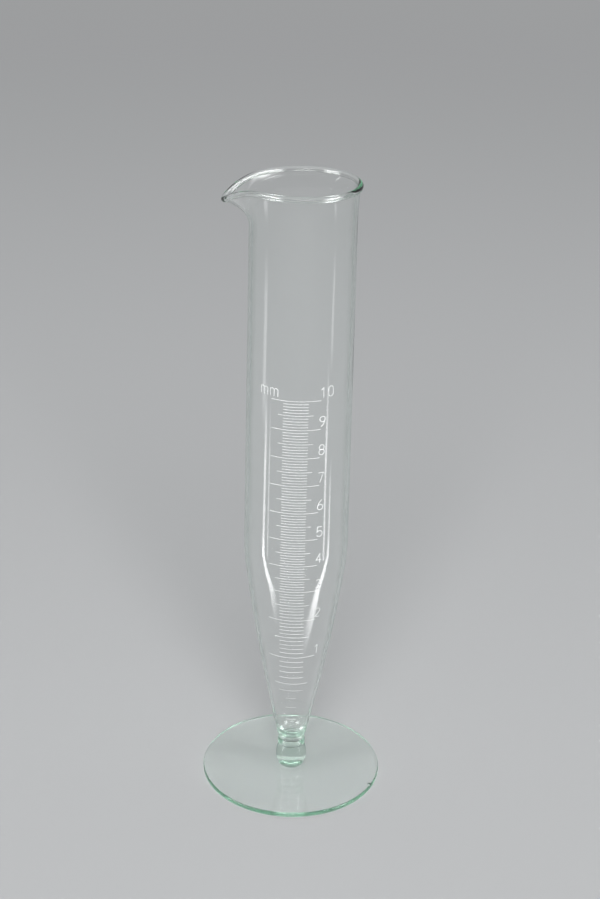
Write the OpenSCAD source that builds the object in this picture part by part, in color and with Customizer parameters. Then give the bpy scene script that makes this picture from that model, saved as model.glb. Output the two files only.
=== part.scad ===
// Measuring glass of a rain gauge: a tapered, graduated glass on a knopped stem and a round foot.
// It stands on z = 0 with its axis on Z. The scale faces -Y and the pour lip points to -X.

/* [Foot] */
// Diameter of the round foot
foot_d = 84; // [70:1:110]
// Thickness of the foot at its edge
foot_edge = 2.2; // [1.8:0.1:4]
// Extra thickness of the foot at its centre
foot_rise = 0.4; // [0.2:0.1:2]
// Radius on the upper and lower corners of the foot's edge
foot_round = 0.8; // [0.3:0.1:0.9]

/* [Stem] */
// Diameter of the necks where the knop meets the foot and the collar
neck_d = 11.6; // [9:0.2:14]
// Height of the knop
knop_h = 11; // [8:0.5:16]
// How far the knop swells out past its necks
knop_swell = 1.4; // [0.6:0.1:4]
// Height of the collar
collar_h = 3.4; // [2.4:0.2:6]
// How far the collar swells out past the neck
collar_swell = 0.6; // [0.3:0.1:2]

/* [Vessel] */
// Height of the glass, from the ground to the top of its rim
total_h = 290; // [240:1:350]
// Outer diameter at the shoulder, where the taper starts
body_d = 47; // [40:0.2:56]
// How much narrower the tube is under the mouth than at the shoulder
tube_taper = 1.2; // [0:0.2:3]
// Height of the shoulder above the ground
shoulder_z = 124; // [105:1:150]
// Radius of the arc that turns from the tube into the taper
shoulder_r = 120; // [60:5:160]
// Angle by which the taper bows outward between the shoulder and its toe
taper_bow = 5.2; // [1:0.1:8]
// How far the toe of the taper stands out past the neck under it
toe_ledge = 0.4; // [0.1:0.1:1.5]
// Radius on the edge of the toe
toe_round = 0.5; // [0.2:0.1:0.6]
// Thickness of the glass wall in the tube
wall = 1.4; // [1.2:0.1:2]
// Thickness of the glass wall at the toe
toe_wall = 0.8; // [0.7:0.1:1.6]
// Glass under the lowest point of the bore
base_glass = 1.6; // [1:0.1:5]

/* [Mouth] */
// How far the rim stands out past the tube
rim_overhang = 1.9; // [1.4:0.1:4]
// Thickness of the round bead on the rim
bead_d = 2.7; // [2.2:0.1:3.6]
// Height over which the wall flares out to the bead
mouth_h = 18; // [12:1:26]
// How far the tip of the pour lip reaches past the rim
lip_reach = 9.8; // [5:0.2:14]
// How far the tip of the pour lip drops under the rim
lip_drop = 7; // [3:0.2:10]
// How fast the lip's outline falls away to its sides
lip_sharpness = 4.6; // [3:0.1:7]
// How fast the lip's height falls away to its sides
drop_sharpness = 7; // [4:0.5:10]

/* [Scale] */
// Area of the rain collector that the scale belongs to, in square millimetres
collector_area = 20000; // [15000:500:22000]
// Rain depth at the top line of the scale
scale_top = 10; // [6:1:10]
// Length of the lines at whole millimetres of rain
whole_line_l = 22; // [18:1:26]
// Length of the lines at half millimetres of rain
half_line_l = 15.5; // [12:0.5:18]
// Length of the lines at tenths of a millimetre of rain
tenth_line_l = 11; // [8:0.5:12]
// Length of the lines in the narrow toe, below the first 0.4 mm of rain
toe_line_l = 4.6; // [3:0.2:6]
// Width of every line
line_w = 0.24; // [0.2:0.02:0.4]
// Depth to which the scale is etched and filled
etch = 0.12; // [0.08:0.01:0.2]
// Distance along the wall from the front of the glass to the middle of the scale
scale_shift = 1.35; // [0:0.05:3]
// Height of the numerals
numeral_h = 5; // [3:0.1:5.4]
// Width of the strokes of numerals and letters
stroke = 0.3; // [0.3:0.02:0.5]
// Height of the letters of the unit
letter_h = 3.9; // [2.5:0.1:4.5]

/* [Hidden] */
RAIN = [1:scale_top];
$fn = 128;

glass = [0.78, 0.88, 0.86, 0.45];
frost = [0.95, 0.96, 0.97];

// Diameters that follow from the ones above
knop_d = neck_d + 2 * knop_swell;
collar_d = neck_d + 2 * collar_swell;
toe_d = neck_d + 2 * toe_ledge;
mouth_d = body_d - tube_taper;
rim_d = mouth_d + 2 * rim_overhang;

// Heights where the fused pieces meet
knop_z = foot_edge + foot_rise;
collar_z = knop_z + knop_h;
toe_z = collar_z + collar_h;
mouth_z = total_h - bead_d / 2 - mouth_h;

// Points on the quarter turns of a rounded corner, and on each curved outline
corner_steps = 6;
swell_steps = 16;
shoulder_steps = 8;
belly_steps = 20;
floor_steps = 12;
flare_steps = 6;
bead_steps = 8;
mouth_sides = 76;

// First guess of the angle where the taper starts, and how often it is worked out again
angle_guess = 8;
angle_tries = 12;
// Least step from the ball of the bore's floor to the next point of its side
ball_step = 1;
// Step of height at which the volume of the bore is summed
fill_step = 0.25;

// Height over which the wall bends into the bead
flare_h = 3.6;
// Depth and inset of the seat that roots the flared mouth in the tube's wall
seat_depth = 1;
seat_inset = 0.05;
// Direction of the pour lip, half the angle over which it forms, and that over which its tip is rounded
lip_az = 180;
lip_half = 90;
lip_soft = 8;
// How much closer together the mouth's sections stand at the lip
lip_crowding = 1.4;

// Angle of the scale's middle line: the front is at 270 degrees
scale_az = 270 - scale_shift / (body_d / 2) * 180 / PI;
// Rain depth below which the lines are the short ones of the toe
toe_lines_below = 0.4;
// Gaps from a whole line to the numeral above it, and between the two figures of the highest numeral
numeral_gap = 1.1;
figure_gap = 1.2;
// How far a numeral reaches back over its line
numeral_overlap = 0.4;
// Sweep of glass in which a figure or letter is etched, in degrees
figure_sweep = 40;
// How far past the glass the etching is cut, so that each groove is open
etch_overcut = 0.5;
// Gap from the top line to the unit, gap between its letters, and its offset from the scale's middle
letter_gap = 1.2;
letter_space = 1.1;
unit_shift = 12.3;

function arc(centre, r, from, to, steps) =
    [for (i = [0:steps]) let (a = from + (to - from) * i / steps) centre + r * [cos(a), sin(a)]];

// Outline of a turned swelling of the stem: an ellipse's arc from neck to neck
function swell(wide_d, z, h) =
    let (half_angle = acos(neck_d / wide_d), half_height = h / 2 / sin(half_angle))
    [for (i = [-swell_steps:swell_steps]) let (a = half_angle * i / swell_steps)
        [wide_d / 2 * cos(a), z + h / 2 + half_height * sin(a)]];

// Point of the shoulder's arc where its angle from the vertical is a
function shoulder_point(a) = [body_d / 2 - shoulder_r * (1 - cos(a)), shoulder_z - shoulder_r * sin(a)];

// Angle from the vertical at which the shoulder's arc ends, so that the taper's bow ends at the toe
function taper_angle(guess, tries) =
    tries == 0 ? guess :
    let (p = shoulder_point(guess))
    taper_angle(atan2(p.x - toe_d / 2, p.y - toe_z - toe_round) - taper_bow / 2, tries - 1);

start_angle = taper_angle(angle_guess, angle_tries);
end_angle = start_angle + taper_bow;
shoulder_end = shoulder_point(start_angle);
belly_chord = norm(shoulder_end - [toe_d / 2, toe_z + toe_round]);
belly_r = belly_chord / 2 / sin(taper_bow / 2);

// Outer line of the glass from the toe up, each point with its angle from the vertical
function taper_points() =
    let (centre = shoulder_end - belly_r * [cos(start_angle), -sin(start_angle)])
    [for (i = [belly_steps:-1:1]) let (a = start_angle + taper_bow * i / belly_steps)
        [centre.x + belly_r * cos(a), centre.y - belly_r * sin(a), a]];
function shoulder_points() =
    [for (i = [shoulder_steps:-1:0])
        let (a = start_angle * i / shoulder_steps)
        concat(shoulder_point(a), a)];
outer = concat(taper_points(), shoulder_points(), [[mouth_d / 2, mouth_z, 0]]);

// Thickness of the wall at a height, thinning from the shoulder down to the toe
function wall_at(z) = toe_wall + (wall - toe_wall) * min(1, max(0, (z - toe_z) / (shoulder_z - toe_z)));
inner_side = [for (p = outer) [p.x - wall_at(p.y) * cos(p.z), p.y + wall_at(p.y) * sin(p.z)]];

// The bore ends in a ball that touches its tapered side
floor_z = toe_z + base_glass;
side_end = inner_side[0];
ball_r = (side_end.x * cos(end_angle) + (floor_z - side_end.y) * sin(end_angle)) / (1 - sin(end_angle));
ball_top = floor_z + ball_r - ball_r * sin(end_angle);
bore = concat(
    arc([0, floor_z + ball_r], ball_r, -90, -end_angle, floor_steps),
    [for (p = inner_side) if (p.y > ball_top + ball_step) p]
);

outer_table = [for (p = outer) [p.y, p.x]];
bore_table = [for (p = bore) [p.y, p.x]];
function outer_r(z) = lookup(z, outer_table);

// Liquid held by the bore up to each height, as pairs of volume and height
function slice(z) = PI * pow(lookup(z + fill_step / 2, bore_table), 2) * fill_step;
fill_table = [for (v = 0, z = floor_z; z < mouth_z; v = v + slice(z), z = z + fill_step) [v, z]];
function rain_z(rain) = lookup(rain * collector_area, fill_table);

// Section of the glass between two heights, from inside its surface to outside it
function skin(z0, z1, inside, outside) =
    let (between = [for (p = outer) if (p.y > z0 && p.y < z1) [p.x, p.y]],
        line = concat([[outer_r(z0), z0]], between, [[outer_r(z1), z1]]))
    concat([for (p = line) p + [outside, 0]], [for (i = [len(line) - 1:-1:0]) line[i] - [inside, 0]]);

// One line of the scale, etched round the glass
module etched_line(rain, length, outside) {
    z = rain_z(rain);
    sweep = length / outer_r(z) * 180 / PI;
    rotate_extrude(angle = sweep, start = scale_az - sweep / 2)
        polygon(skin(z - line_w / 2, z + line_w / 2, etch, outside));
}

// Unit vector along a line, and the one square to it on its left
function unit(v) = v / norm(v);
function left(v) = [-v.y, v.x];

// Points beside a path, at distance d to its left, with mitred corners
function beside(path, d, closed) =
    let (n = len(path), last = n - 1)
    [for (i = [0:last])
        let (before = i > 0 || closed ? unit(path[i] - path[(i + last) % n]) : unit(path[1] - path[0]),
            after = i < last || closed ? unit(path[(i + 1) % n] - path[i]) : before,
            way = unit(left(before) + left(after)))
        path[i] + d / (way * left(before)) * way];

// A stroke of even width along a path, open or closed
module pen(path, closed = false) {
    right_side = beside(path, -stroke / 2, closed);
    left_side = beside(path, stroke / 2, closed);
    if (closed) difference() {
        polygon(right_side);
        polygon(left_side);
    }
    else polygon(concat(right_side, [for (i = [len(path) - 1:-1:0]) left_side[i]]));
}

// A curve of the pen, and a whole ring
pen_step = 18;
function curve(centre, r, from, to) = arc(centre, r, from, to, ceil(abs(to - from) / pen_step));
function ring(centre, r) = [for (a = [0:pen_step:360 - pen_step]) centre + r * [cos(a), sin(a)]];

// Figures from 0 to 9, half as wide as they are high, from their lower left corner.
// Corners are shares of the figure's width and height, and angles are those of its round strokes.
module figure(n) {
    h = numeral_h - stroke;
    w = h / 2;
    ball = h / 4;
    big_ball = ball * 1.08;
    tail_w = 0.8 * w;
    tail_r = (pow(tail_w, 2) + pow(h - big_ball, 2)) / (2 * tail_w);
    tail = curve([tail_r, big_ball], tail_r, 180 - asin((h - big_ball) / tail_r), 178);
    translate([stroke / 2, stroke / 2]) {
        if (n == 0)
            pen(concat(curve([w / 2, w / 2], w / 2, 180, 360), curve([w / 2, h - w / 2], w / 2, 0, 180)),
                closed = true);
        if (n == 1) {
            pen([[w * 0.6, 0], [w * 0.6, h]]);
            pen([[w * 0.1, h * 0.76], [w * 0.6, h - stroke / 2]]);
        }
        if (n == 2)
            pen(concat(curve([w / 2, h - w / 2], w / 2, 165, -35), [[0, 0], [w, 0]]));
        if (n == 3) {
            pen(curve([w / 2, h - ball], ball, -95, 155));
            pen(curve([w / 2, big_ball], big_ball, -155, 95));
        }
        if (n == 4) {
            pen([[w * 0.75, 0], [w * 0.75, h]]);
            pen([[w * 0.75, h - stroke / 2], [0, h * 0.3], [w, h * 0.3]]);
        }
        if (n == 5)
            pen(concat([[w, h], [w * 0.12, h]], curve([w / 2, h * 0.3], h * 0.3, 142, -150)));
        if (n == 6) {
            pen(ring([w / 2, big_ball], big_ball), closed = true);
            pen(tail);
        }
        if (n == 7)
            pen([[0, h], [w, h], [w * 0.3, 0]]);
        if (n == 8) {
            pen(ring([w / 2, big_ball], big_ball), closed = true);
            pen(ring([w / 2, h - ball], ball), closed = true);
        }
        if (n == 9) translate([w, h]) rotate(180) {
            pen(ring([w / 2, big_ball], big_ball), closed = true);
            pen(tail);
        }
    }
}

// The letter m, from its lower left corner
module letter_m() {
    h = letter_h - stroke;
    w = h;
    translate([stroke / 2, stroke / 2]) {
        pen([[0, 0], [0, h]]);
        for (x = [0, w / 2])
            pen(concat(curve([x + w / 4, h - w / 4], w / 4, 165, 0), [[x + w / 2, 0]]));
    }
}

// Etches a flat shape, w wide and h high, into the glass: shift is along the wall from the scale's middle
module etched_shape(shift, w, z, h, outside) {
    az = scale_az + shift / outer_r(z) * 180 / PI;
    ring = skin(z - stroke, z + h + stroke, etch, outside);
    intersection() {
        rotate_extrude(angle = figure_sweep, start = az - figure_sweep / 2) polygon(ring);
        rotate([90, 0, az + 90]) translate([-w / 2, z, 0]) linear_extrude(body_d) children();
    }
}

module etched_numeral(mm, outside) {
    figure_w = (numeral_h - stroke) / 2 + stroke;
    z = rain_z(mm) + numeral_gap;
    shift = whole_line_l / 2 + figure_w / 2 - numeral_overlap;
    if (mm < 10)
        etched_shape(shift, figure_w, z, numeral_h, outside) figure(mm);
    else {
        etched_shape(shift, figure_w, z, numeral_h, outside) figure(floor(mm / 10));
        etched_shape(shift + figure_w + figure_gap, figure_w, z, numeral_h, outside) figure(mm % 10);
    }
}

module etched_unit(outside) {
    z = rain_z(scale_top) + letter_gap;
    pitch = letter_h + letter_space;
    for (shift = [-pitch / 2, pitch / 2])
        etched_shape(shift - unit_shift, letter_h, z, letter_h, outside) letter_m();
}

// The eight fine lines between two whole lines, without the half line
module etched_tenths(mm, outside) {
    for (tenth = [1:9]) if (tenth != 5) {
        rain = mm - 1 + tenth / 10;
        etched_line(rain, rain < toe_lines_below ? toe_line_l : tenth_line_l, outside);
    }
}

// Foot: a flat disc with a softened edge
module foot_disc() {
    r = foot_d / 2 - foot_round;
    color(glass) rotate_extrude() polygon(concat(
        [[0, 0]],
        arc([r, foot_round], foot_round, -90, 0, corner_steps),
        arc([r, foot_edge - foot_round], foot_round, 0, 90, corner_steps),
        [[neck_d / 2, knop_z], [0, knop_z]]
    ));
}

// Knop: the solid swelling of the stem
module stem_knop() {
    color(glass) rotate_extrude()
        polygon(concat([[0, knop_z]], swell(knop_d, knop_z, knop_h), [[0, collar_z]]));
}

// Collar: the flattened bead of glass that joins the vessel to the knop
module stem_collar() {
    color(glass) rotate_extrude()
        polygon(concat([[0, collar_z]], swell(collar_d, collar_z, collar_h), [[0, toe_z]]));
}

// Section of the flaring wall, from its inner foot over the bead to its outer foot
function mouth_section(bead_r, bead_z, wall_r, seat) =
    let (foot_point = [wall_r, mouth_z], end = [bead_r, bead_z], mid = [wall_r, bead_z - flare_h],
        thin = wall / 2 - seat,
        path = [for (i = [0:flare_steps]) let (t = i / flare_steps)
            pow(1 - t, 2) * foot_point + 2 * t * (1 - t) * mid + t * t * end],
        slope = [for (i = [0:flare_steps]) let (t = i / flare_steps)
            unit((1 - t) * (mid - foot_point) + t * (end - mid))],
        up = atan2(slope[flare_steps].y, slope[flare_steps].x),
        reach = asin(wall / bead_d))
    concat(
        [foot_point + [-thin, -seat_depth]],
        [for (i = [0:flare_steps - 1]) path[i] + wall / 2 * left(slope[i]) + [i == 0 ? seat : 0, 0]],
        arc(end, bead_d / 2, up + 180 - reach, up - 180 + reach, bead_steps),
        [for (i = [flare_steps - 1:-1:0]) path[i] - wall / 2 * left(slope[i]) - [i == 0 ? seat : 0, 0]],
        [foot_point + [thin, -seat_depth]]
    );

// The flared mouth with its bead and pour lip: sections round the axis, closer together at the lip
module mouth() {
    wall_r = mouth_d / 2 - wall / 2;
    sections = [for (i = [0:mouth_sides - 1])
        let (side = 2 * i / mouth_sides - 1,
            away = pow(abs(side), lip_crowding) * 180,
            az = lip_az + sign(side) * away,
            u = min(1, (norm([away, lip_soft]) - lip_soft) / lip_half),
            r = rim_d / 2 - bead_d / 2 + lip_reach * pow(1 - u, lip_sharpness),
            z = total_h - bead_d / 2 - lip_drop * pow(1 - u, drop_sharpness))
        [for (p = mouth_section(r, z, wall_r, seat_inset)) [p.x * cos(az), p.x * sin(az), p.y]]];
    n = len(sections[0]);
    polyhedron(
        points = [for (section = sections) each section],
        faces = [for (i = [0:mouth_sides - 1], j = [0:n - 1])
            let (here = i * n, there = (i + 1) % mouth_sides * n, k = (j + 1) % n)
            each [[here + j, there + k, here + k], [here + j, there + j, there + k]]]
    );
}

// Vessel: the blown wall with its taper, flared mouth and pour lip, etched for the scale
module vessel() {
    toe_corner = arc([toe_d / 2 - toe_round, toe_z + toe_round], toe_round, -90, -end_angle, corner_steps);
    color(glass) {
        difference() {
            rotate_extrude() polygon(concat(
                [[0, toe_z]],
                toe_corner,
                [for (p = outer) [p.x, p.y]],
                [for (i = [len(bore) - 1:-1:0]) bore[i]]
            ));
            for (mm = RAIN) {
                etched_line(mm, whole_line_l, etch_overcut);
                etched_line(mm - 0.5, half_line_l, etch_overcut);
                etched_tenths(mm, etch_overcut);
                etched_numeral(mm, etch_overcut);
            }
            etched_unit(etch_overcut);
        }
        mouth();
    }
}

// Marks of the scale: frosted filling, flush with the glass
module whole_line(mm) { color(frost) etched_line(mm, whole_line_l, 0); }
module half_line(mm) { color(frost) etched_line(mm - 0.5, half_line_l, 0); }
module tenth_lines(mm) { color(frost) etched_tenths(mm, 0); }
module numeral(mm) { color(frost) etched_numeral(mm, 0); }
module unit_mark() { color(frost) etched_unit(0); }

foot_disc();
stem_knop();
stem_collar();
vessel();
for (mm = RAIN) whole_line(mm);
for (mm = RAIN) half_line(mm);
for (mm = RAIN) tenth_lines(mm);
for (mm = RAIN) numeral(mm);
unit_mark();
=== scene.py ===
"""Looks of a rain gauge's measuring glass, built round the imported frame, in metres."""

import math

import bmesh
import bpy
from mathutils import Euler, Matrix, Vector


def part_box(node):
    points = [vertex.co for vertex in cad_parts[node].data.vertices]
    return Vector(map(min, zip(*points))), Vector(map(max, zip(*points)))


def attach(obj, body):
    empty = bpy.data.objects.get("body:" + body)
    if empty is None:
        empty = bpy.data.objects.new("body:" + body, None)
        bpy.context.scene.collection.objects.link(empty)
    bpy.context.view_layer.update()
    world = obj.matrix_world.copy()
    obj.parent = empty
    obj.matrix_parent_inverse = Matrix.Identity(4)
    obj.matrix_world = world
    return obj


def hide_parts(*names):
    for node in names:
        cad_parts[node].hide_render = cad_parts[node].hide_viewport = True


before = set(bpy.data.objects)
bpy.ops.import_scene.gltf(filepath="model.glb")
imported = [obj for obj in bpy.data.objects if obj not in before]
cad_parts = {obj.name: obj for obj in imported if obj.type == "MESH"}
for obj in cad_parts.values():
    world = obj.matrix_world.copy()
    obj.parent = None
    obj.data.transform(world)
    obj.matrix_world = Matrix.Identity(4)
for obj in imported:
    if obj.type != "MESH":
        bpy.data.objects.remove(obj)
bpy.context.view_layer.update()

MM = 0.001

# Heights and radii that the frame gives
FOOT_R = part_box("foot_disc")[1].x
KNOP_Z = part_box("stem_knop")[0].z
COLLAR_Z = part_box("stem_collar")[0].z
TOE_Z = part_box("vessel")[0].z
KNOP_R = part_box("stem_knop")[1].x
COLLAR_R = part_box("stem_collar")[1].x

# Foot and stem
FOOT_EDGE = 2.2 * MM
FOOT_ROUND = 0.8 * MM
NECK_R = 5.8 * MM

# Vessel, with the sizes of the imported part
TOTAL_H = 290 * MM
BODY_R = 23.5 * MM
MOUTH_R = 22.9 * MM
SHOULDER_Z = 124 * MM
SHOULDER_ARC_R = 120 * MM
TAPER_BOW = math.radians(5.2)
TOE_R = 6.2 * MM
TOE_ROUND = 0.5 * MM
WALL = 1.4 * MM
TOE_WALL = 0.8 * MM
BASE_GLASS = 1.6 * MM

# Mouth and pour lip
BEAD_R = 1.35 * MM
RIM_OVERHANG = 1.9 * MM
MOUTH_H = 18 * MM
FLARE_H = 3.6 * MM
LIP_REACH = 9.8 * MM
LIP_DROP = 7 * MM
LIP_SHARPNESS = 4.6
DROP_SHARPNESS = 7
LIP_AZ = math.pi
LIP_HALF = math.radians(90)
LIP_SOFT = math.radians(8)
MOUTH_PASSES = 2

BEAD_Z = TOTAL_H - BEAD_R
MOUTH_Z = BEAD_Z - MOUTH_H
FLOOR_Z = TOE_Z + BASE_GLASS

# First guess of the angle at which the taper starts, and how often it is refined
TAPER_GUESS = math.radians(8)
TAPER_ROUNDS = 12

# Height over the bore's round floor that the wall's points leave free
BALL_CLEAR = 1 * MM

# The foot's chip, and how far each piece of the stem reaches into the next
CHIP_AZ = math.radians(-25)
CHIP_HALF = math.radians(1.5)
CHIP_DEPTH = 0.75 * MM
CHIP_SLOPE = Vector((0.8, 0.6))
LAP = 0.02 * MM

# Unevenness of the blown glass: depth and phase of its waves, heights of the waves along it,
# and shares of the weaker waves in the strongest
OUTER_WAVE = 0.035 * MM
INNER_WAVE = 0.05 * MM
OUTER_PHASE = 0.4
INNER_PHASE = 2.1
SWELL_H = 11 * MM
STRAND_H = 37 * MM
TWIST = 9
OVAL_SHARE = 0.5
SWELL_SHARE = 0.6
STRAND_SHARE = 0.35

# Height over the toe where the unevenness starts, and the height over which it grows
CALM_H = 6 * MM
CALM_GROWTH = 110 * MM

# Marks stand this far out of the glass and reach this far into it
MARK_PROUD = 0.03 * MM
MARK_DEPTH = 0.05 * MM
MARK_STEP = 0.7 * MM
MARK_CUTS = 5
MARK_WELD = 0.001 * MM
ETCH = 0.12 * MM

# Fineness of the turned meshes, and the angle from which an edge is sharp
SIDES = 256
FOOT_SIDES = 720
CORNER_STEPS = 8
TAPER_STEPS = 52
TUBE_STEPS = 66
FLARE_STEPS = 22
BEAD_STEPS = 20
BALL_STEPS = 16
SWELLING_STEPS = 40
FOOT_TOP_STEPS = 30
FOOT_UNDER_STEPS = 8
SHARP_ANGLE = math.radians(40)

# Glass: its index, its green in thick glass, the painted shade that darkens its base colour at grazing
# edges, the light that it lets through to the floor, the roughness of its smudges and the depth of its
# striae
GLASS_INDEX = 1.52
GLASS_GREEN = (0.25, 0.87, 0.56, 1)
GREEN_DENSITY = 12
PAINTED_EDGE_SHADE_STOPS = [(0.35, (1, 1, 1)), (0.65, (0.50, 0.60, 0.55))]
THROUGH_GLASS = (0.66, 0.67, 0.665, 1)
SMUDGE_STOPS = [(0.52, 0.0), (0.75, 0.035)]
STRIAE_DEPTH = 0.02 * MM

# Filling of the marks: its thin and full places, and the painted shade that darkens the middle of the scale,
# standing in for the glint of the marks towards its sides, with the half widths where that shade is full and
# where it has faded
FILL_STOPS = [(0.3, (0.60, 0.62, 0.62)), (0.6, (0.96, 0.97, 0.97))]
MIDDLE_PAINTED_SHADE = 0.86
SHADED_MIDDLE_HALF = 3 * MM
SHADE_FADED_HALF = 8 * MM

# Greys of the floor and of the room behind it, the floor's size, its depth under the foot, and the
# distances between which it fades into the room
FLOOR_GREY = (0.48, 0.486, 0.492, 1)
ROOM_GREY = (0.34, 0.345, 0.35, 1)
FLOOR_HALF = 6
FLOOR_SINK = 0.2 * MM
FADE_START = 0.5
FADE_END = 2.4

# Share of a soft lamp's width and length over which it fades
LAMP_SOFT = 0.35

# Lamps: a wide one overhead, one in front that lights floor and marks, and three that only the glass
# mirrors and bends. Each has its place, target, width, height, power and what sees it
LAMPS = {
    "overhead": ((0, 0.3, 2.4), (0, 0.3, 0), 4, 4, 16, "all"),
    "front_box": ((0.1, -3.0, 2.1), (0, 0, 0.15), 2.4, 1.8, 143, "floor and marks"),
    "front_gleam": ((0, -2.2, 1.75), (0, 0, 0.15), 2.4, 0.9, 50, "glass"),
    "left_box": ((-0.96, -0.53, 0.76), (0, 0, 0.2), 1.0, 0.8, 30, "glass"),
    "right_box": ((0.96, -0.53, 0.76), (0, 0, 0.2), 1.0, 0.8, 30, "glass"),
}

# Upright strips close to the glass that only its gloss sees: way from the glass, width, low and high end,
# radiance
STRIP_FAR = 0.24
UPRIGHT = {
    "left": ((-0.950, -0.312), 0.034, -0.05, 0.125, 7),
    "left_faint": ((-0.880, -0.475), 0.020, -0.02, 0.115, 4),
    "left_high": ((-0.978, -0.208), 0.050, 0.08, 0.2, 2.6),
    "right": ((0.882, -0.471), 0.028, -0.05, 0.14, 7),
    "right_faint": ((0.962, -0.274), 0.026, -0.02, 0.075, 5),
    "right_high": ((0.930, -0.368), 0.032, 0.12, 0.2, 2.4),
}

# Strips that lie on the floor, for the gloss of the taper: far and near end, width, radiance
LYING = {
    "left": ((-0.290, -0.080), (-0.070, -0.076), 0.034, 12),
    "right": ((0.290, -0.078), (0.030, -0.076), 0.036, 12),
}
LYING_Z = 1 * MM

# Paths through the thick glass of the foot are long, so light may turn often in it
TURNS = 32

# Camera at the photo's place, with its frame's height and focal length in pixels
FRAME_H = 899
FOCAL_PX = 1803.9
SENSOR = 36
CAMERA_PLACE = (0.00086, -0.7277, 0.5002)
CAMERA_DOWN = 24.576
CAMERA_ROLL = 1.355


def clamped(value):
    """A value kept between 0 and 1."""
    return min(1, max(0, value))


def angle_from(az, other):
    """Angle between two directions round the axis."""
    return abs((az - other + math.pi) % (2 * math.pi) - math.pi)


def arc(centre, r, start, end, steps):
    """Points of an arc in the r-z plane."""
    points = []
    for i in range(steps + 1):
        a = start + (end - start) * i / steps
        points.append(Vector((centre[0] + r * math.cos(a), centre[1] + r * math.sin(a))))
    return points


def shoulder_point(a):
    """Point of the shoulder's arc where the glass leans by angle a from the vertical."""
    return Vector((BODY_R - SHOULDER_ARC_R * (1 - math.cos(a)), SHOULDER_Z - SHOULDER_ARC_R * math.sin(a)))


def taper_start():
    """Angle where the shoulder's arc passes into the taper's bow, so that the bow ends at the toe."""
    toe = Vector((TOE_R, TOE_Z + TOE_ROUND))
    angle = TAPER_GUESS
    for _ in range(TAPER_ROUNDS):
        chord = shoulder_point(angle) - toe
        angle = math.atan2(chord.x, chord.y) - TAPER_BOW / 2
    return angle


START_ANGLE = taper_start()
END_ANGLE = START_ANGLE + TAPER_BOW
SHOULDER_END = shoulder_point(START_ANGLE)
BOW_R = (SHOULDER_END - Vector((TOE_R, TOE_Z + TOE_ROUND))).length / 2 / math.sin(TAPER_BOW / 2)
BOW_CENTRE = SHOULDER_END - BOW_R * Vector((math.cos(START_ANGLE), -math.sin(START_ANGLE)))


def outer_line():
    """Outer line of the glass from the toe to the mouth: points with the angle at which they lean."""
    line = []
    for i in range(TAPER_STEPS, 0, -1):
        a = START_ANGLE + TAPER_BOW * i / TAPER_STEPS
        line.append((BOW_CENTRE + BOW_R * Vector((math.cos(a), -math.sin(a))), a))
    for i in range(TAPER_STEPS // 2, -1, -1):
        a = START_ANGLE * i / (TAPER_STEPS // 2)
        line.append((shoulder_point(a), a))
    for i in range(1, TUBE_STEPS + 1):
        share = i / TUBE_STEPS
        r = BODY_R + (MOUTH_R - BODY_R) * share
        z = SHOULDER_Z + (MOUTH_Z - SHOULDER_Z) * share
        line.append((Vector((r, z)), 0))
    return line


OUTER = outer_line()


def outer_r(z):
    """Radius of the even glass at a height between the toe and the mouth."""
    for (low, _), (high, _) in zip(OUTER, OUTER[1:]):
        if z <= high.y:
            return low.x + (high.x - low.x) * (z - low.y) / (high.y - low.y)
    return MOUTH_R


def wall_at(z):
    """Thickness of the wall, thinning from the shoulder down to the toe."""
    return TOE_WALL + (WALL - TOE_WALL) * clamped((z - TOE_Z) / (SHOULDER_Z - TOE_Z))


def bore_line():
    """Inner line from the middle of the bore's floor to the mouth."""
    inner = [p + wall_at(p.y) * Vector((-math.cos(a), math.sin(a))) for p, a in OUTER]
    side = inner[0]
    lean = math.sin(END_ANGLE)
    ball_r = (side.x * math.cos(END_ANGLE) + (FLOOR_Z - side.y) * lean) / (1 - lean)
    ball = arc((0, FLOOR_Z + ball_r), ball_r, -math.pi / 2, -END_ANGLE, BALL_STEPS)
    top = ball[-1].y + BALL_CLEAR
    return ball + [p for p in inner if p.y > top]


BORE = bore_line()


def waviness(az, z, phase, depth):
    """Unevenness of drawn glass: an oval with ripples round it, long swells along it and fine strands."""
    oval = math.sin(2 * az + phase) + OVAL_SHARE * math.sin(5 * az + 2.3 * phase + TWIST * z)
    swell = SWELL_SHARE * math.sin(z / SWELL_H + 2 * math.sin(az + phase)) * math.sin(3 * az + 1.7 * phase)
    strands = STRAND_SHARE * math.sin(9 * az + 4.1 * phase + z / STRAND_H)
    return depth * (oval + swell + strands)


def growth(z):
    """Share of the waviness at a height: none near the toe, where the glass is narrow."""
    return clamped((z - TOE_Z - CALM_H) / CALM_GROWTH)


def outer_swell(az, z):
    return waviness(az, z, OUTER_PHASE, OUTER_WAVE) * growth(z)


def inner_swell(az, z):
    return waviness(az, z, INNER_PHASE, INNER_WAVE) * growth(z)


def mouth_share(z):
    """Share of the waviness that is left in the mouth, and none at the bead."""
    return clamped((BEAD_Z - LIP_DROP - z) / (MOUTH_H - LIP_DROP))


def soften(points, times):
    """Rounds the corners of a line a little, and keeps its ends."""
    for _ in range(times):
        moved = [(a + 2 * b + c) / 4 for a, b, c in zip(points, points[1:], points[2:])]
        points = [points[0], *moved, points[-1]]
    return points


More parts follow.
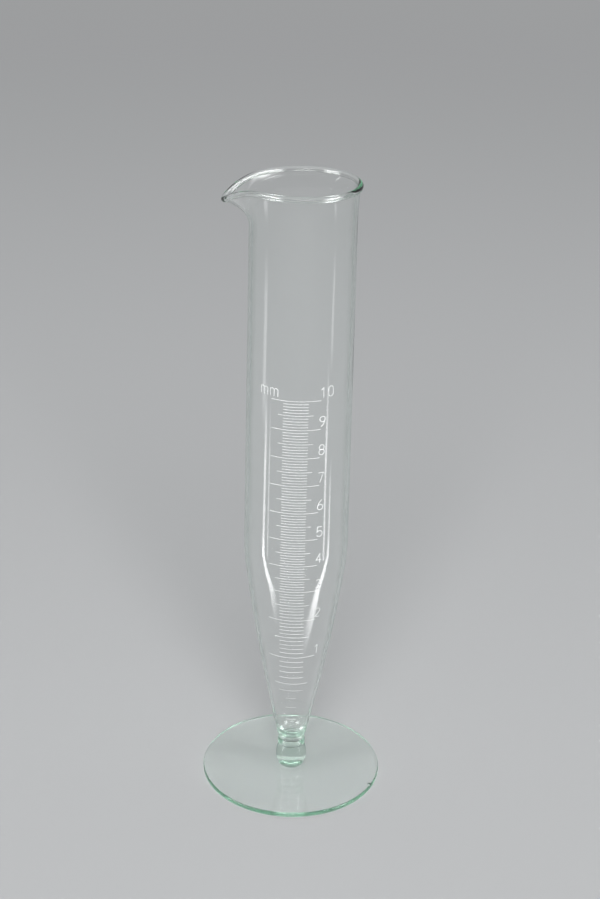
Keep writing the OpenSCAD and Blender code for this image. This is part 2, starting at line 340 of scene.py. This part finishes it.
def mouth_line(az):
    """Section of the flared mouth from the outside of the tube over the bead to its inside."""
    u = min(1, (math.hypot(angle_from(az, LIP_AZ), LIP_SOFT) - LIP_SOFT) / LIP_HALF)
    middle_r = MOUTH_R - WALL / 2
    start = Vector((middle_r, MOUTH_Z))
    end = Vector((
        MOUTH_R + RIM_OVERHANG - BEAD_R + LIP_REACH * (1 - u) ** LIP_SHARPNESS,
        BEAD_Z - LIP_DROP * (1 - u) ** DROP_SHARPNESS,
    ))
    mid = Vector((middle_r, end.y - FLARE_H))
    path = []
    for i in range(FLARE_STEPS + 1):
        t = i / FLARE_STEPS
        point = start * (1 - t) ** 2 + mid * 2 * t * (1 - t) + end * t * t
        slope = ((mid - start) * (1 - t) + (end - mid) * t).normalized()
        path.append((point, slope))
    up = math.atan2(path[-1][1].y, path[-1][1].x)
    reach = math.asin(WALL / 2 / BEAD_R)
    outside = [p + WALL / 2 * Vector((s.y, -s.x)) for p, s in path[:-1]]
    inside = [p + WALL / 2 * Vector((-s.y, s.x)) for p, s in path[:-1]]
    bead = arc(end, BEAD_R, up - math.pi + reach, up + math.pi - reach, BEAD_STEPS)
    return soften(outside + bead + inside[::-1], MOUTH_PASSES)


def vessel_section(az):
    """Closed section of the vessel from the middle of its toe over the rim to the middle of its bore."""
    toe = arc((TOE_R - TOE_ROUND, TOE_Z + TOE_ROUND), TOE_ROUND, -math.pi / 2, -END_ANGLE, CORNER_STEPS)
    outside = [Vector((p.x + outer_swell(az, p.y), p.y)) for p, _ in OUTER[:-1]]
    inside = [Vector((p.x + inner_swell(az, p.y), p.y)) for p in BORE[:-1]]
    mouth = mouth_line(az)
    middle = len(mouth) // 2
    swells = [outer_swell] * middle + [inner_swell] * (len(mouth) - middle)
    mouth = [Vector((p.x + swell(az, p.y) * mouth_share(p.y), p.y)) for p, swell in zip(mouth, swells)]
    return [Vector((0, TOE_Z))] + toe + outside + mouth + inside[::-1]


def swelling(z0, z1, r, neck_r):
    """Outline of a turned swelling of the stem: an ellipse's arc from neck to neck."""
    half = math.acos(neck_r / r)
    tall = (z1 - z0) / 2 / math.sin(half)
    half_steps = SWELLING_STEPS // 2
    line = []
    for i in range(-half_steps, half_steps + 1):
        a = half * i / half_steps
        line.append(Vector((r * math.cos(a), (z0 + z1) / 2 + tall * math.sin(a))))
    return line


def chip_at(az):
    """Depth of the chip in the foot's upper edge at an angle."""
    off = angle_from(az, CHIP_AZ) / CHIP_HALF
    return CHIP_DEPTH * math.sqrt(1 - off * off) if off < 1 else 0


def foot_section(az):
    """Closed section of the foot, from the middle of its face to the middle of its joint with the knop."""
    r = FOOT_R - FOOT_ROUND
    low = arc((r, FOOT_ROUND), FOOT_ROUND, -math.pi / 2, 0, CORNER_STEPS)
    high = arc((r, FOOT_EDGE - FOOT_ROUND), FOOT_ROUND, 0, math.pi / 2, CORNER_STEPS)
    high = [p - chip_at(az) * i / CORNER_STEPS * CHIP_SLOPE for i, p in enumerate(high)]
    rise = Vector((NECK_R, KNOP_Z)) - Vector((r, FOOT_EDGE))
    top = [Vector((r, FOOT_EDGE)) + rise * i / FOOT_TOP_STEPS for i in range(1, FOOT_TOP_STEPS + 1)]
    under = [Vector((r * i / FOOT_UNDER_STEPS, 0)) for i in range(FOOT_UNDER_STEPS)]
    return under + low + high + top + [Vector((NECK_R, KNOP_Z + LAP)), Vector((0, KNOP_Z + LAP))]


def knop_section(az):
    """Closed section of the knop, the same all round."""
    return [Vector((0, KNOP_Z)), *swelling(KNOP_Z, COLLAR_Z, KNOP_R, NECK_R), Vector((0, COLLAR_Z))]


def collar_section(az):
    """Closed section of the collar, which reaches a little into the knop and the vessel."""
    low = COLLAR_Z - LAP
    high = TOE_Z + LAP
    return [Vector((0, low)), Vector((NECK_R, low)), *swelling(COLLAR_Z, TOE_Z, COLLAR_R, NECK_R),
            Vector((NECK_R, high)), Vector((0, high))]


def finished_piece(name, mesh):
    """An object of a mesh, smooth but for its sharp edges."""
    mesh.shade_smooth()
    mesh.set_sharp_from_angle(angle=SHARP_ANGLE)
    piece = bpy.data.objects.new(name, mesh)
    bpy.context.collection.objects.link(piece)
    return piece


def turned(name, section, sides):
    """A closed mesh turned round the axis. section(az) gives its line, from the axis to the axis."""
    points = []
    faces = []
    lines = [section(2 * math.pi * i / sides) for i in range(sides)]
    rows = len(lines[0]) - 2
    for i, line in enumerate(lines):
        az = 2 * math.pi * i / sides
        points += [(p.x * math.cos(az), p.x * math.sin(az), p.y) for p in line[1:-1]]
    low = len(points)
    high = low + 1
    points += [(0, 0, lines[0][0].y), (0, 0, lines[0][-1].y)]
    for i in range(sides):
        here = i * rows
        there = (i + 1) % sides * rows
        faces.append((low, there, here))
        faces += [(here + k, there + k, there + k + 1, here + k + 1) for k in range(rows - 1)]
        faces.append((here + rows - 1, there + rows - 1, high))
    mesh = bpy.data.meshes.new(name)
    mesh.from_pydata(points, [], faces)
    return finished_piece(name, mesh)


def frosted_copy(node):
    """A fine copy of a mark of the scale, laid on the uneven glass."""
    name = "frosted_" + node
    mesh = bpy.data.meshes.new(name)
    bm = bmesh.new()
    bm.from_mesh(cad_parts[node].data)
    bmesh.ops.remove_doubles(bm, verts=bm.verts, dist=MARK_WELD)
    for _ in range(MARK_CUTS):
        longest = [e for e in bm.edges if e.calc_length() > MARK_STEP]
        bmesh.ops.subdivide_edges(bm, edges=longest, cuts=1, use_grid_fill=False)
        bmesh.ops.triangulate(bm, faces=[f for f in bm.faces if len(f.verts) > 3])
    for v in bm.verts:
        r = math.hypot(v.co.x, v.co.y)
        az = math.atan2(v.co.y, v.co.x)
        even = outer_r(v.co.z)
        shift = MARK_PROUD if r > even - ETCH / 2 else -MARK_DEPTH
        target = even + outer_swell(az, v.co.z) + shift
        v.co.x *= target / r
        v.co.y *= target / r
    bm.to_mesh(mesh)
    bm.free()
    return finished_piece(name, mesh)


def new_material(name):
    """A material with its nodes, links, skin and output."""
    mat = bpy.data.materials.new(name)
    mat.use_nodes = True
    nodes = mat.node_tree.nodes
    return mat, nodes, mat.node_tree.links, nodes["Principled BSDF"], nodes["Material Output"]


def math_node(nodes, operation):
    node = nodes.new("ShaderNodeMath")
    node.operation = operation
    return node


def stretched_noise(nodes, links, scale, detail, along=1):
    """Noise in the object's own metres, drawn out along the axis where along is small."""
    place = nodes.new("ShaderNodeTexCoord")
    stretch = nodes.new("ShaderNodeMapping")
    stretch.inputs["Scale"].default_value = (1, 1, along)
    noise = nodes.new("ShaderNodeTexNoise")
    noise.inputs["Scale"].default_value = scale
    noise.inputs["Detail"].default_value = detail
    links.new(place.outputs["Object"], stretch.inputs["Vector"])
    links.new(stretch.outputs["Vector"], noise.inputs["Vector"])
    return noise


def ramp(nodes, links, factor, stops):
    """A colour ramp with stops of position and grey or colour, driven by a factor."""
    shade = nodes.new("ShaderNodeValToRGB")
    elements = shade.color_ramp.elements
    for element, (position, colour) in zip(elements, stops):
        element.position = position
        element.color = (*colour, 1) if isinstance(colour, tuple) else (colour, colour, colour, 1)
    links.new(factor, shade.inputs["Fac"])
    return shade


def glass_material():
    """Clear blown glass, green where it is thick, with drawn striae and a handled, smudged skin."""
    mat, nodes, links, glass, out = new_material("clear_glass")
    glass.inputs["Transmission Weight"].default_value = 1
    glass.inputs["IOR"].default_value = GLASS_INDEX
    # Painted shade: on front faces the base colour darkens where the glass is seen edge-on, standing in for
    # the dark edges that surroundings give glass
    facing = nodes.new("ShaderNodeLayerWeight")
    facing.inputs["Blend"].default_value = 0.25
    surface = nodes.new("ShaderNodeNewGeometry")
    entering = math_node(nodes, "SUBTRACT")
    entering.inputs[0].default_value = 1
    grazing = math_node(nodes, "MULTIPLY")
    links.new(surface.outputs["Backfacing"], entering.inputs[1])
    links.new(facing.outputs["Facing"], grazing.inputs[0])
    links.new(entering.outputs["Value"], grazing.inputs[1])
    painted_edge_shade = ramp(nodes, links, grazing.outputs["Value"], PAINTED_EDGE_SHADE_STOPS)
    links.new(painted_edge_shade.outputs["Color"], glass.inputs["Base Color"])
    smudges = stretched_noise(nodes, links, scale=55, detail=4, along=0.6)
    handled = ramp(nodes, links, smudges.outputs["Fac"], SMUDGE_STOPS)
    links.new(handled.outputs["Color"], glass.inputs["Roughness"])
    striae = stretched_noise(nodes, links, scale=160, detail=3, along=0.06)
    drawn = nodes.new("ShaderNodeBump")
    drawn.inputs["Strength"].default_value = 1
    drawn.inputs["Distance"].default_value = STRIAE_DEPTH
    links.new(striae.outputs["Fac"], drawn.inputs["Height"])
    links.new(drawn.outputs["Normal"], glass.inputs["Normal"])
    tint = nodes.new("ShaderNodeVolumeAbsorption")
    tint.inputs["Color"].default_value = GLASS_GREEN
    tint.inputs["Density"].default_value = GREEN_DENSITY
    lamp_way = nodes.new("ShaderNodeBsdfTransparent")
    lamp_way.inputs["Color"].default_value = THROUGH_GLASS
    light_path = nodes.new("ShaderNodeLightPath")
    mix = nodes.new("ShaderNodeMixShader")
    links.new(light_path.outputs["Is Shadow Ray"], mix.inputs["Fac"])
    links.new(glass.outputs["BSDF"], mix.inputs[1])
    links.new(lamp_way.outputs["BSDF"], mix.inputs[2])
    links.new(mix.outputs["Shader"], out.inputs["Surface"])
    links.new(tint.outputs["Volume"], out.inputs["Volume"])
    return mat


def mark_material():
    """White, matt filling of the etched scale, grainy, with painted shade in the middle of the scale that
    leaves the marks brighter towards its sides, as painted glint.
    """
    mat, nodes, links, white, _ = new_material("etched_mark")
    grain = stretched_noise(nodes, links, scale=2500, detail=3)
    fill = ramp(nodes, links, grain.outputs["Fac"], FILL_STOPS)
    place = nodes.new("ShaderNodeTexCoord")
    sides = nodes.new("ShaderNodeSeparateXYZ")
    away = math_node(nodes, "ABSOLUTE")
    # Painted shade: the filling is darker where the scale faces forward and full white towards its sides,
    # standing in for the marks' glint there
    painted_middle_shade = nodes.new("ShaderNodeMapRange")
    painted_middle_shade.inputs["From Min"].default_value = SHADED_MIDDLE_HALF
    painted_middle_shade.inputs["From Max"].default_value = SHADE_FADED_HALF
    painted_middle_shade.inputs["To Min"].default_value = MIDDLE_PAINTED_SHADE
    shade = nodes.new("ShaderNodeVectorMath")
    shade.operation = "SCALE"
    links.new(place.outputs["Object"], sides.inputs["Vector"])
    links.new(sides.outputs["X"], away.inputs[0])
    links.new(away.outputs["Value"], painted_middle_shade.inputs["Value"])
    links.new(fill.outputs["Color"], shade.inputs[0])
    links.new(painted_middle_shade.outputs["Result"], shade.inputs["Scale"])
    links.new(shade.outputs["Vector"], white.inputs["Base Color"])
    white.inputs["Roughness"].default_value = 0.7
    return mat


def floor_material():
    """Plain matt floor that fades into the room far from the glass, so that no horizon shows."""
    mat, nodes, links, matt, out = new_material("pale_floor")
    matt.inputs["Base Color"].default_value = FLOOR_GREY
    matt.inputs["Roughness"].default_value = 0.9
    matt.inputs["Specular IOR Level"].default_value = 0
    place = nodes.new("ShaderNodeTexCoord")
    away = nodes.new("ShaderNodeVectorMath")
    away.operation = "LENGTH"
    fade_out = nodes.new("ShaderNodeMapRange")
    fade_out.interpolation_type = "SMOOTHSTEP"
    fade_out.inputs["From Min"].default_value = FADE_START
    fade_out.inputs["From Max"].default_value = FADE_END
    room = nodes.new("ShaderNodeBsdfTransparent")
    mix = nodes.new("ShaderNodeMixShader")
    links.new(place.outputs["Object"], away.inputs[0])
    links.new(away.outputs["Value"], fade_out.inputs["Value"])
    links.new(fade_out.outputs["Result"], mix.inputs["Fac"])
    links.new(matt.outputs["BSDF"], mix.inputs[1])
    links.new(room.outputs["BSDF"], mix.inputs[2])
    links.new(mix.outputs["Shader"], out.inputs["Surface"])
    return mat


def add_glass(name, section, node, mat, sides=SIDES):
    """A turned piece of glass that stands in for a node of the frame."""
    piece = turned(name, section, sides)
    piece.data.materials.append(mat)
    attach(piece, "root")
    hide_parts(node)


def soften_lamp(lamp):
    """Lets a lamp fade towards its sides and ends, so that its streaks on the glass have soft edges."""
    lamp.use_nodes = True
    nodes = lamp.node_tree.nodes
    links = lamp.node_tree.links
    place = nodes.new("ShaderNodeNewGeometry")
    sides = nodes.new("ShaderNodeSeparateXYZ")
    both = math_node(nodes, "MULTIPLY")
    links.new(place.outputs["Parametric"], sides.inputs["Vector"])
    for i, axis in enumerate("XY"):
        inward = math_node(nodes, "PINGPONG")
        inward.inputs[1].default_value = 0.5
        fall = nodes.new("ShaderNodeMapRange")
        fall.interpolation_type = "SMOOTHSTEP"
        fall.inputs["From Max"].default_value = LAMP_SOFT
        links.new(sides.outputs[axis], inward.inputs[0])
        links.new(inward.outputs["Value"], fall.inputs["Value"])
        links.new(fall.outputs["Result"], both.inputs[i])
    links.new(both.outputs["Value"], nodes["Emission"].inputs["Strength"])


def add_area(name, place, turn, width, height, power, seen_by):
    """A lamp that the camera doesn't see. All else does, or floor and marks, or glass, or only its gloss."""
    lamp = bpy.data.lights.new(name, "AREA")
    lamp.shape = "RECTANGLE"
    lamp.size = width
    lamp.size_y = height
    lamp.energy = power
    holder = bpy.data.objects.new(name, lamp)
    holder.location = place
    holder.rotation_euler = turn
    holder.visible_camera = False
    if seen_by == "floor and marks":
        holder.visible_glossy = False
        holder.visible_transmission = False
    elif seen_by != "all":
        soften_lamp(lamp)
        holder.visible_diffuse = False
        holder.visible_transmission = seen_by == "glass"
    bpy.context.collection.objects.link(holder)


def towards(place, target):
    """Turn of a lamp at a place that shines on a target."""
    return (Vector(target) - Vector(place)).to_track_quat("-Z", "Y").to_euler()


# Pieces of glass
glass = glass_material()
add_glass("foot", foot_section, "foot_disc", glass, FOOT_SIDES)
add_glass("knop", knop_section, "stem_knop", glass)
add_glass("collar", collar_section, "stem_collar", glass)
add_glass("glass_vessel", vessel_section, "vessel", glass)

# Marks of the scale
frost = mark_material()
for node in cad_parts:
    if "line" in node or node.startswith("numeral") or node == "unit_mark":
        mark = frosted_copy(node)
        mark.data.materials.append(frost)
        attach(mark, "root")
        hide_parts(node)

# Floor
floor_mesh = bpy.data.meshes.new("floor")
corners = [(x * FLOOR_HALF, y * FLOOR_HALF, 0) for x, y in ((-1, -1), (1, -1), (1, 1), (-1, 1))]
floor_mesh.from_pydata(corners, [], [(0, 1, 2, 3)])
floor = bpy.data.objects.new("floor", floor_mesh)
floor.location.z = -FLOOR_SINK
floor_mesh.materials.append(floor_material())
bpy.context.collection.objects.link(floor)

# World: an even room
world = bpy.data.worlds.new("room")
world.use_nodes = True
world.node_tree.nodes["Background"].inputs["Color"].default_value = ROOM_GREY
bpy.context.scene.world = world

# Lamps and strips. An area lamp's power is its radiance times pi times its area
for name, (place, target, width, height, power, seen_by) in LAMPS.items():
    add_area(name, place, towards(place, target), width, height, power, seen_by)

for name, ((x, y), width, low, high, radiance) in UPRIGHT.items():
    place = (x * STRIP_FAR, y * STRIP_FAR, (low + high) / 2)
    power = radiance * math.pi * width * (high - low)
    add_area(name + "_upright", place, towards(place, (0, 0, place[2])), width, high - low, power, "gloss")

for name, (start, end, width, radiance) in LYING.items():
    along = Vector(end) - Vector(start)
    middle = (Vector(end) + Vector(start)) / 2
    turn = (math.pi, 0, math.atan2(along.y, along.x))
    power = radiance * math.pi * width * along.length
    add_area(name + "_lying", (middle.x, middle.y, LYING_Z), turn, along.length, width, power, "gloss")

bpy.context.scene.cycles.max_bounces = TURNS
bpy.context.scene.cycles.transmission_bounces = TURNS
bpy.context.scene.cycles.glossy_bounces = TURNS

# Camera
cam_data = bpy.data.cameras.new("camera")
cam_data.sensor_width = SENSOR
cam_data.lens = SENSOR * FOCAL_PX / FRAME_H
camera = bpy.data.objects.new("camera", cam_data)
camera.location = CAMERA_PLACE
pitch = Euler((math.radians(90 - CAMERA_DOWN), 0, 0)).to_matrix()
roll = Euler((0, 0, math.radians(CAMERA_ROLL))).to_matrix()
camera.rotation_euler = (pitch @ roll).to_euler()
bpy.context.collection.objects.link(camera)
bpy.context.scene.camera = camera
bpy.context.scene.view_settings.view_transform = "Standard"
